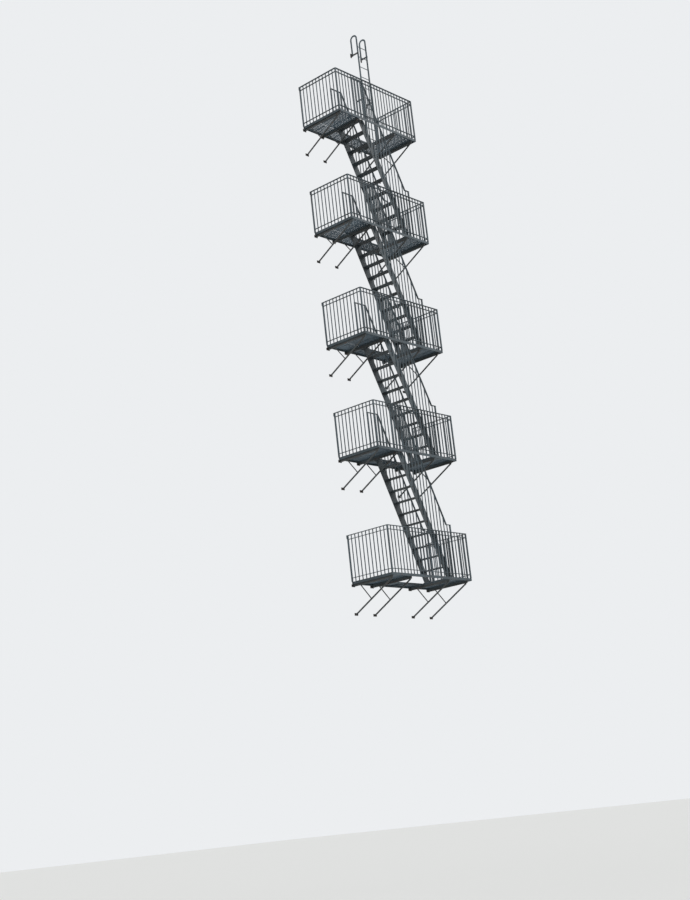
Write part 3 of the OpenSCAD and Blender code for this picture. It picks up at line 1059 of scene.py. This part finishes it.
    def post_lugs(self) -> None:
        """Straps that carry each corner post down over the edge bars, two rivets each."""
        s = self.layout
        lug = FootPlate(self.lug_w, s.edge_h - self.lug_short, self.lug_t, self.lug_short)
        from_front, from_back = self.side_lugs_in
        on_sides = [-s.balcony_d + from_front, -s.to_wall - from_back]
        parts = []
        for xs, ys, out in ((s.rail_xs, -s.balcony_d, -Y_AXIS),
                            (s.left_x, on_sides, -X_AXIS), (s.right_x, on_sides, X_AXIS)):
            places = meshed(xs, ys, s.level(self.k) + s.edge_h / 2)
            rivets = [places + out * lug.thickness + Z_AXIS * step for step in self.lug_rivet_reach * SIDES]
            parts += [lug.at(places, out), self.small_rivet.at(np.vstack(rivets), out)]
        self.add(f"balcony_{self.k}_post_lugs", parts, Slot.FRAME)

    def bracket_rivets(self) -> None:
        """Rivets on both sides of each bracket: at the strut's tip and at the brace's two ends."""
        s = self.layout
        inwards, up = self.tip_rivet
        # each rivet's y, its z below the platform and half of its bar's width
        y, z, half_w = np.array([[s.tip_y + inwards, -s.beam_h + up, s.bar_w / 2],
                                 [-s.brace_top_y, -s.beam_h / 2, s.bar_w / 2],
                                 [-s.brace_low_y, s.strut_line(-s.brace_low_y), s.strut_w / 2]]).T
        parts = []
        for side in SIDES:
            places = rows_of(s.bracket_xs[:, None] + side * half_w, y, z + s.level(self.k)).reshape(-1, 3)
            parts.append(self.rivet.at(places, side * X_AXIS))
        self.add(f"balcony_{self.k}_bracket_rivets", parts, Slot.BRACKET)

    def bracket_welds(self) -> None:
        """Fillet welds round each beam's and each strut's end on its wall plate."""
        s = self.layout
        tilt = (s.foot_drop - s.beam_h) / (s.tip_y + s.plate_t)
        strut = s.strut_h / 2 * math.hypot(1, tilt)
        places = rows_of(s.bracket_xs, 0.0, s.level(self.k))
        parts = []
        for half_w, low, high in ((s.bar_w / 2, -s.beam_h, 0.0),
                                  (s.strut_w / 2, -s.foot_drop - strut, -s.foot_drop + strut)):
            outline = rows_of([-half_w, -half_w, half_w, half_w], -s.plate_t, [low, high, high, low])
            parts.append(self.bead.around(outline, -Y_AXIS).repeated(places, np.eye(3)))
        self.add(f"balcony_{self.k}_bracket_welds", parts, Slot.BRACKET)

    def anchor_bolts(self) -> None:
        """Nuts on the wall plates and bolts on the railings' wall flanges."""
        s = self.layout
        z = s.level(self.k)
        top = z + s.rail_top_h
        draws = np.random.default_rng(self.first_seed + self.k)
        xs = (s.bracket_xs[:, None] + s.bolt_spacing / 2 * SIDES).ravel()
        on_plates = [meshed(xs, -s.plate_t, z + up) for up in (-s.beam_h / 2, -s.foot_drop)]
        on_flanges = [meshed(s.rail_xs, -s.flange_t, top - drop) for drop in self.flange_bolt_drops]
        parts = [self.anchor.spun(np.vstack(on_plates), -Y_AXIS, draws),
                 self.flange_bolt.spun(np.vstack(on_flanges), -Y_AXIS, draws)]
        self.add(f"balcony_{self.k}_anchor_bolts", parts, Slot.BRACKET, BOLT_STEEL)


@dataclass
class FlightFixings(SubAssembly):
    """Bolts, rivets and foot plates of one flight, counted from the lowest."""

    k: int = 1
    cleat: AngleCleat = AngleCleat(0.038, 0.005, 0.036, 0.004)
    tread_bolt: HexBolt = HexBolt(0.016, 0.007, 0.021, 0.002, 0.010, 0.002)
    # from a tread's middle to its bolts, and their place down the cleat as a share of its size
    tread_bolt_reach: float = 0.028
    tread_bolt_drop: float = 0.55
    # the nearest that a rivet comes to a cleat's end, and a washer to a picket
    rivet_inset: float = 0.010
    washer_gap: float = 0.001
    foot: FootPlate = FootPlate()
    foot_rivet_reach: float = 0.024
    foot_rivet_spread: float = 0.020
    # a head newel stands at the edge of the opening, so its plate lies this far back from it
    head_plate_aside: float = 0.018
    shoe_rivet_reach: float = 0.060
    shoe_rivet_in: float = 0.020
    lowest_picket_rivet: float = 0.030
    first_seed: int = 70

    def build(self) -> None:
        """Makes every piece of the flight."""
        self.tread_bolts()
        self.picket_rivets()
        self.newel_plates()
        self.head_cleats()

    def beside_pickets(self, x: np.ndarray) -> np.ndarray:
        """Moves each bolt that would stand under a picket to that picket's nearer side.

        Args:
            x: places of the bolts along the wall.

        Returns:
            The places, each clear of the picket nearest to it.
        """
        s = self.layout
        pickets = s.stair_pickets(self.k)
        away = x[:, None] - pickets[None]
        nearest = np.abs(away).argmin(axis=1)
        d = away[np.arange(len(x)), nearest]
        clear = s.picket_s / 2 + self.tread_bolt.washer_d / 2 + self.washer_gap
        return np.where(np.abs(d) < clear, pickets[nearest] + np.where(d < 0, -clear, clear), x)

    def tread_bolts(self) -> None:
        """Two bolts at each end of each tread: nuts outside the stringer, heads on the cleat inside."""
        s = self.layout
        draws = np.random.default_rng(self.first_seed + self.k)
        middle, top = s.treads(self.k)
        x = self.beside_pickets((middle[:, None] + self.tread_bolt_reach * SIDES).ravel())
        z = np.repeat(top, 2) - s.tread_bar_t - s.cleat_s * self.tread_bolt_drop
        middle = np.repeat(middle, 2)
        inside = np.clip(x, middle - s.tread_d / 4 + self.rivet_inset,
                         middle + s.tread_d / 4 - self.rivet_inset)
        outer, inner = s.stringer_ys
        half = s.stringer_t / 2
        parts = [self.tread_bolt.spun(rows_of(x, y, z), out, draws)
                 for y, out in ((outer - half, -Y_AXIS), (inner + half, Y_AXIS))]
        parts += [self.small_rivet.at(rows_of(inside, y, z), out)
                  for y, out in ((outer + half + s.cleat_t, Y_AXIS), (inner - half - s.cleat_t, -Y_AXIS))]
        self.add(f"flight_{self.k}_tread_bolts", parts, Slot.STRINGER, BOLT_STEEL)

    def picket_rivets(self) -> None:
        """A rivet through each picket into its stringer, and the picket's end hammered over on top.

        A picket's rivet stands on the stringer's middle line, no lower than just above the
        floor and no higher than the picket's lap on the arm at the head.
        """
        s = self.layout
        x = s.stair_pickets(self.k)
        upper = s.floor(self.k + 1)
        line = upper - (x - s.head_cx) * s.slope(self.k)
        z = np.maximum(s.floor(self.k) + self.lowest_picket_rivet,
                       np.minimum(upper - s.head_arm_h + s.picket_lap, line))
        top = s.handrail_z(self.k, x)
        on_stringer = x < s.foot_x(self.k)
        falls = (top < s.level(self.k + 1) + s.rail_top_h - ROUNDING) & on_stringer
        upwards = np.where(falls[:, None], [s.slope(self.k), 0, 1], Z_AXIS)
        parts = []
        for y, side in zip(s.rail_ys, SIDES):
            places = rows_of(x, y + side * s.picket_s / 2, z)[on_stringer]
            parts += [self.small_rivet.at(places, side * Y_AXIS),
                      self.small_rivet.at(rows_of(x, y, top), upwards)]
        self.add(f"flight_{self.k}_picket_rivets", parts, Slot.RAIL)

    def newel_plates(self) -> None:
        """Foot plates of the four newels with their rivets, and the rivets of both shoes."""
        s = self.layout
        head_x, foot_x = s.stair_newels(self.k)
        plates = np.vstack([meshed(head_x - self.head_plate_aside, s.rail_ys, s.floor(self.k + 1)),
                            meshed(foot_x, s.rail_ys, s.floor(self.k))])
        x, y, z = plates.T[..., None]
        # a plate has both of its rivets on the side away from the flight
        away = np.repeat(SIDES, 2)[:, None]
        rivets = rows_of(x + self.foot_rivet_reach * away, y + self.foot_rivet_spread * SIDES,
                         z + self.foot.thickness).reshape(-1, 3)
        outer, inner = s.stringer_ys
        on_shoes = meshed(s.foot_cx + self.shoe_rivet_reach * SIDES,
                          [outer + self.shoe_rivet_in, inner - self.shoe_rivet_in],
                          s.floor(self.k) + s.shoe_t)
        parts = [self.foot.at(plates, Z_AXIS, np.pi / 2), self.small_rivet.at(rivets, Z_AXIS),
                 self.rivet.at(on_shoes, Z_AXIS)]
        self.add(f"flight_{self.k}_newel_plates", parts, Slot.STRINGER)

    def head_cleats(self) -> None:
        """Angle cleats that tie the head of each stringer to the cross bar at the opening."""
        s = self.layout
        outer, inner = s.stringer_ys
        half = s.stringer_t / 2
        sx, sy = np.array([1, 1]), np.array([1, -1])
        feet = rows_of(s.open_x[0], [outer + half, inner - half], s.level(self.k + 1) + self.cleat_up)
        on_x, on_y = self.cleat.rivet_spots(feet, sx, sy)
        parts = [self.cleat.in_corners(feet, sx, sy),
                 self.small_rivet.at(on_x, np.outer(sy, Y_AXIS)), self.small_rivet.at(on_y, X_AXIS)]
        self.add(f"flight_{self.k}_head_cleats", parts, Slot.STRINGER)


@dataclass
class RoofLadderFixings(SubAssembly):
    """Rivets, welds and bolts of the ladder to the roof."""

    bead: WeldBead = WeldBead(0.0032, 0.12, 0.006)
    rung_sides: int = 12
    seed: int = 90

    def build(self) -> None:
        """Makes every piece of the ladder."""
        self.rung_ends()
        self.bracket_bolts()

    def rung_ends(self) -> None:
        """The rungs' ends, hammered over outside the stiles, and the welds round them inside."""
        s = self.layout
        foot = s.floor(s.balconies)
        z = foot + s.rung_pitch * np.arange(1, math.floor((s.neck_z - foot) / s.rung_pitch) + 1)
        cosine, sine = round_circle(self.rung_sides)
        ring = rows_of(0.0, s.rung_d / 2 * cosine, s.rung_d / 2 * sine)
        heads, beads = [], []
        for x, side in zip(s.stile_xs, SIDES):
            ends = rows_of(x + side * s.stile_t / 2, -s.ladder_y, z)
            heads.append(self.rivet.at(ends, side * X_AXIS))
            bead = self.bead.around(ring[::side], -side * X_AXIS)
            beads.append(bead.repeated(ends - side * s.stile_t * X_AXIS, np.eye(3)))
        self.add("roof_ladder_rung_ends", heads, Slot.LADDER)
        self.add("roof_ladder_rung_welds", beads, Slot.LADDER)

    def bracket_bolts(self) -> None:
        """Nuts on the wall plates of the ladder's arms, and the rivets that hold the arms."""
        s = self.layout
        draws = np.random.default_rng(self.seed)
        nuts, rivets = [], []
        for z in (s.level(s.balconies) + s.ladder_bracket_h, s.neck_z - s.neck_leg + s.stile_d / 2):
            for x, side in zip(s.stile_xs, SIDES):
                face = x + side * s.stile_t / 2
                places = rows_of(face + side * s.ladder_plate_w / 2, -s.plate_t,
                                 z + s.ladder_bolt_spacing / 2 * SIDES)
                nuts.append(self.anchor.spun(places, -Y_AXIS, draws))
                rivets.append(self.rivet.at([[face + side * s.stile_t, -s.ladder_y, z]], side * X_AXIS))
        self.add("roof_ladder_anchor_bolts", nuts, Slot.BRACKET, BOLT_STEEL)
        self.add("roof_ladder_arm_rivets", rivets, Slot.BRACKET)


# Studio


def bearing(azimuth: float, height: float) -> np.ndarray:
    """The direction at an azimuth from +Y towards +X and at a height, both in degrees."""
    a, e = np.radians([azimuth, height])
    return np.array([np.sin(a) * np.cos(e), np.cos(a) * np.cos(e), np.sin(e)])


def blender_turn(columns: np.ndarray) -> Matrix:
    """A (3, 3) array, whose columns are the turned axes, as Blender's own 4 x 4 matrix."""
    return Matrix([[*map(float, row)] for row in columns]).to_4x4()


@dataclass(frozen=True)
class Studio:
    """Floor, lights, background and the camera at the photograph's place.

    A lamp's place is an azimuth in degrees, from the street side towards +X, and a height.
    """

    camera_at: tuple[float, float, float] = (-25.52, -22.41, -4.715)
    azimuth: float = 48.97
    pitch: float = 14.33
    roll: float = -6.17
    lens_mm: float = 58.51
    sensor_mm: float = 36.0
    nearest: float = 0.5
    farthest: float = 900.0
    floor_z: float = -6.30
    floor_size: float = 400.0
    floor_colour: str = "#e6e5e1"
    floor_roughness: float = 0.9
    backdrop: str = "#eceef0"
    sky_colour: str = "#eef2f7"
    sky_strength: float = 0.58
    key_strength: float = 1.9
    key_from: tuple[float, float] = (28.0, 38.0)
    key_spread: float = 25.0
    fill_strength: float = 0.35
    fill_from: tuple[float, float] = (-70.0, 20.0)
    fill_spread: float = 60.0

    def camera(self) -> None:
        """Places the camera: it looks along azimuth and pitch, then rolls about its own axis."""
        ahead = bearing(self.azimuth, self.pitch)
        r = np.radians(self.roll)
        right = np.cross(ahead, Z_AXIS)
        right /= np.linalg.norm(right)
        top = np.cross(right, ahead)
        across = np.cos(r) * right + np.sin(r) * top
        upward = -np.sin(r) * right + np.cos(r) * top
        data = bpy.data.cameras.new("photo_view")
        data.lens = self.lens_mm
        data.sensor_width = self.sensor_mm
        data.clip_start, data.clip_end = self.nearest, self.farthest
        view = placed("photo_view", data)
        turn = blender_turn(np.column_stack([across, upward, -ahead]))
        view.matrix_world = Matrix.Translation(self.camera_at) @ turn
        bpy.context.scene.camera = view

    def floor(self) -> None:
        """A wide pale floor far below, where the pavement would be."""
        h, z = self.floor_size / 2, self.floor_z
        mesh = bpy.data.meshes.new("floor")
        mesh.from_pydata([(-h, -h, z), (h, -h, z), (h, h, z), (-h, h, z)], [], [(0, 1, 2, 3)])
        made = bpy.data.materials.new("floor")
        tree = empty_tree(made)
        shader = add_node(tree, "BsdfPrincipled", {
            "Base Color": linear(self.floor_colour), "Roughness": self.floor_roughness})
        add_node(tree, "OutputMaterial", {"Surface": shader.outputs[0]})
        mesh.materials.append(made)
        placed("floor", mesh)

    def sun(self, name: str, strength: float, turned_to: tuple[float, float], spread: float) -> None:
        """A soft distant lamp.

        Args:
            name: the lamp's name.
            strength: its power on a square face.
            turned_to: where it shines from, as an azimuth and a height.
            spread: its apparent width in degrees, which softens the shadows.
        """
        lamp = bpy.data.lights.new(name, "SUN")
        lamp.energy = strength
        lamp.angle = math.radians(spread)
        light = placed(name, lamp)
        light.matrix_world = blender_turn(facing(bearing(*turned_to) * [1, -1, 1])[0])

    def sky(self) -> None:
        """Even pale light from all round, and a plain pale background where the camera or gloss sees it."""
        world = bpy.data.worlds.new("studio")
        tree = empty_tree(world)
        rays = add_node(tree, "LightPath", {}).outputs
        seen = rays["Is Camera Ray"]
        for other in ("Is Glossy Ray", "Is Transmission Ray"):
            seen = add_node(tree, "Math", {0: seen, 1: rays[other]}, operation="MAXIMUM").outputs[0]
        light, plain = [
            add_node(tree, "Background", {"Color": linear(colour), "Strength": strength}).outputs[0]
            for colour, strength in ((self.sky_colour, self.sky_strength), (self.backdrop, 1.0))]
        both = add_node(tree, "MixShader", {0: seen, 1: light, 2: plain})
        add_node(tree, "OutputWorld", {"Surface": both.outputs[0]})
        bpy.context.scene.world = world

    def build(self) -> None:
        """Makes the whole studio and sets the plain view transform."""
        bpy.context.scene.view_settings.view_transform = "Standard"
        self.camera()
        self.floor()
        self.sky()
        self.sun("key", self.key_strength, self.key_from, self.key_spread)
        self.sun("fill", self.fill_strength, self.fill_from, self.fill_spread)


def dress_solids(materials: dict[Finish, bpy.types.Material]) -> None:
    """Gives each solid the paint of its slot in the record.

    Args:
        materials: the material built from each finish.
    """
    slot_of = {row["node"]: Slot(row["material_slot"]) for row in frame["record"]["subparts"]}
    for name, node in frame["nodes"].items():
        node.data.materials.clear()
        node.data.materials.append(materials[PAINTS[slot_of[name]]])
    log.info("solids: %d finished", len(frame["nodes"]))


def main() -> None:
    """Builds the studio, the finishes and the fixings, and notes the model's size."""
    logging.basicConfig(level=logging.INFO, format="%(name)s: %(message)s")
    layout = Layout()
    Studio().build()
    materials = {finish: finish.material() for finish in (*PAINTS.values(), BOLT_STEEL)}
    dress_solids(materials)
    for k in range(1, layout.balconies + 1):
        BalconyFixings(layout, materials, k=k).build()
    for k in range(1, layout.balconies):
        FlightFixings(layout, materials, k=k).build()
    RoofLadderFixings(layout, materials).build()


if __name__ == "__main__":
    main()
